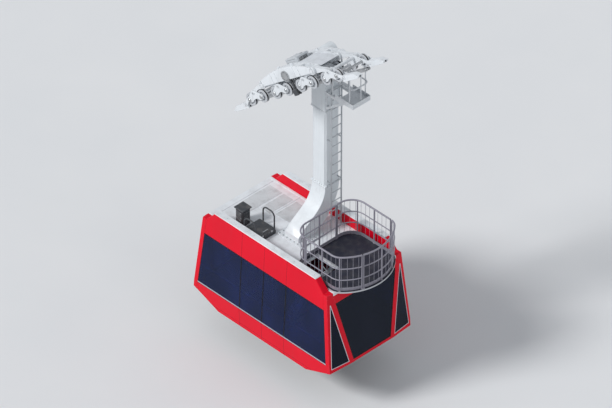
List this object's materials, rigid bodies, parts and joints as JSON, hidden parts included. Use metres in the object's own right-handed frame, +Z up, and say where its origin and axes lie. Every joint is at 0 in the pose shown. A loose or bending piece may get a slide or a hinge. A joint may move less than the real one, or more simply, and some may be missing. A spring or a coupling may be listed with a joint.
{
  "type": "aerial cable car cabin with carriage",
  "caption": "Large red cable car cabin with a roof balcony, hung by a box column from a wheeled carriage that rolls on track ropes.",
  "frame": {"origin": "middle of the carriage, midway between the two track ropes at their centre height", "axes": "+X horizontal in the uphill travel direction, +Y across towards the hanger column, +Z up"},
  "size_m": [5.5262, 3.0263, 9.5396],
  "materials": {
    "carriage_paint": "white paint, weathered",
    "machined_steel": "machined",
    "dark_steel": "dark grey paint",
    "unit_paint": "grey paint",
    "wheel_steel": "grey paint with worn groove",
    "hanger_paint": "satin silver white paint",
    "galvanised": "hot dip zinc",
    "red_paint": "gloss red paint",
    "window_glass": "dark tinted glass",
    "black_frame": "satin black",
    "white_trim": "white roof coating",
    "underbody": "dark underseal",
    "floor_lining": "studded floor covering",
    "balcony_grating": "dark anti slip plate",
    "rail_paint": "dark grey rails",
    "stair_metal": "ribbed",
    "dark_roof_parts": "dark grey paint",
    "aluminium_rail": "anodised",
    "stainless": "brushed",
    "desk_lining": "textured"
  },
  "bodies": {
    "carriage": {"main_beam_near": "carriage_paint", "main_beam_far": "carriage_paint", "cross_members": "carriage_paint", "carriage_walkway": "carriage_paint", "main_shaft": "machined_steel", "haul_drawbar": "machined_steel", "rope_brakes": "dark_steel", "rope_guides": "dark_steel", "pump_unit": "unit_paint", "rocker_lower": "carriage_paint", "rocker_upper": "carriage_paint", "bogie_frame_1": "carriage_paint", "bogie_frame_2": "carriage_paint", "bogie_frame_3": "carriage_paint", "bogie_frame_4": "carriage_paint"},
    "cabin": {"balcony_floor": "balcony_grating", "balcony_railing": "rail_paint", "balcony_stair": "stair_metal", "belly_pan": "underbody", "corner_frames_lower": "red_paint", "corner_frames_upper": "red_paint", "corner_glass": "window_glass", "door_rails": "aluminium_rail", "end_glass": "window_glass", "end_headers": "red_paint", "end_sills": "red_paint", "floor_bearers": "underbody", "floor_panel": "floor_lining", "grab_poles": "stainless", "hanger_column": "hanger_paint", "hanger_foot": "hanger_paint", "hanger_head": "hanger_paint", "hanger_ladder": "galvanised", "hatch_frame": "dark_roof_parts", "lower_panel_far": "red_paint", "lower_panel_near": "red_paint", "operator_desk": "desk_lining", "parapet_caps": "white_trim", "parapet_far": "red_paint", "parapet_near": "red_paint", "platform_railing": "galvanised", "roof_deck": "white_trim", "roof_fittings": "dark_roof_parts", "service_platform": "galvanised", "side_glass_far": "window_glass", "side_glass_near": "window_glass", "window_posts": "black_frame"},
    "wheelset_1": {"wheelset_1": "wheel_steel"},
    "wheelset_2": {"wheelset_2": "wheel_steel"},
    "wheelset_3": {"wheelset_3": "wheel_steel"},
    "wheelset_4": {"wheelset_4": "wheel_steel"},
    "wheelset_5": {"wheelset_5": "wheel_steel"},
    "wheelset_6": {"wheelset_6": "wheel_steel"},
    "wheelset_7": {"wheelset_7": "wheel_steel"},
    "wheelset_8": {"wheelset_8": "wheel_steel"},
    "door_leaf_lower": {"door_leaf_lower": "red_paint", "door_glass_lower": "window_glass"},
    "door_leaf_upper": {"door_leaf_upper": "red_paint", "door_glass_upper": "window_glass"},
    "hatch_lid": {"hatch_lid": "dark_roof_parts"}
  },
  "joints": [
    {"name": "hanger_swing", "type": "hinge", "parent": "carriage", "child": "cabin", "pos_m": [-0.33246, 0.86, 0.42553], "axis": [0, 1, 0], "range_deg": [-50, 12]},
    {"name": "wheelset_1_spin", "type": "hinge", "parent": "carriage", "child": "wheelset_1", "pos_m": [-1.69164, 0, -1.09958], "axis": [0, 1, 0], "continuous": true},
    {"name": "wheelset_2_spin", "type": "hinge", "parent": "carriage", "child": "wheelset_2", "pos_m": [-1.26612, 0, -0.76712], "axis": [0, 1, 0], "continuous": true},
    {"name": "wheelset_3_spin", "type": "hinge", "parent": "carriage", "child": "wheelset_3", "pos_m": [-0.77755, 0, -0.38541], "axis": [0, 1, 0], "continuous": true},
    {"name": "wheelset_4_spin", "type": "hinge", "parent": "carriage", "child": "wheelset_4", "pos_m": [-0.35202, 0, -0.05295], "axis": [0, 1, 0], "continuous": true},
    {"name": "wheelset_5_spin", "type": "hinge", "parent": "carriage", "child": "wheelset_5", "pos_m": [0.13654, 0, 0.32876], "axis": [0, 1, 0], "continuous": true},
    {"name": "wheelset_6_spin", "type": "hinge", "parent": "carriage", "child": "wheelset_6", "pos_m": [0.56207, 0, 0.66121], "axis": [0, 1, 0], "continuous": true},
    {"name": "wheelset_7_spin", "type": "hinge", "parent": "carriage", "child": "wheelset_7", "pos_m": [1.05063, 0, 1.04292], "axis": [0, 1, 0], "continuous": true},
    {"name": "wheelset_8_spin", "type": "hinge", "parent": "carriage", "child": "wheelset_8", "pos_m": [1.47616, 0, 1.37538], "axis": [0, 1, 0], "continuous": true},
    {"name": "door_lower_slide", "type": "slide", "parent": "cabin", "child": "door_leaf_lower", "axis": [-1, 0, 0], "range_m": [0, 0.8]},
    {"name": "door_upper_slide", "type": "slide", "parent": "cabin", "child": "door_leaf_upper", "axis": [1, 0, 0], "range_m": [0, 0.8]},
    {"name": "hatch_lid_hinge", "type": "hinge", "parent": "cabin", "child": "hatch_lid", "pos_m": [-1.44846, -0.75, -4.89417], "axis": [0, -1, 0], "range_deg": [0, 95]}
  ]
}
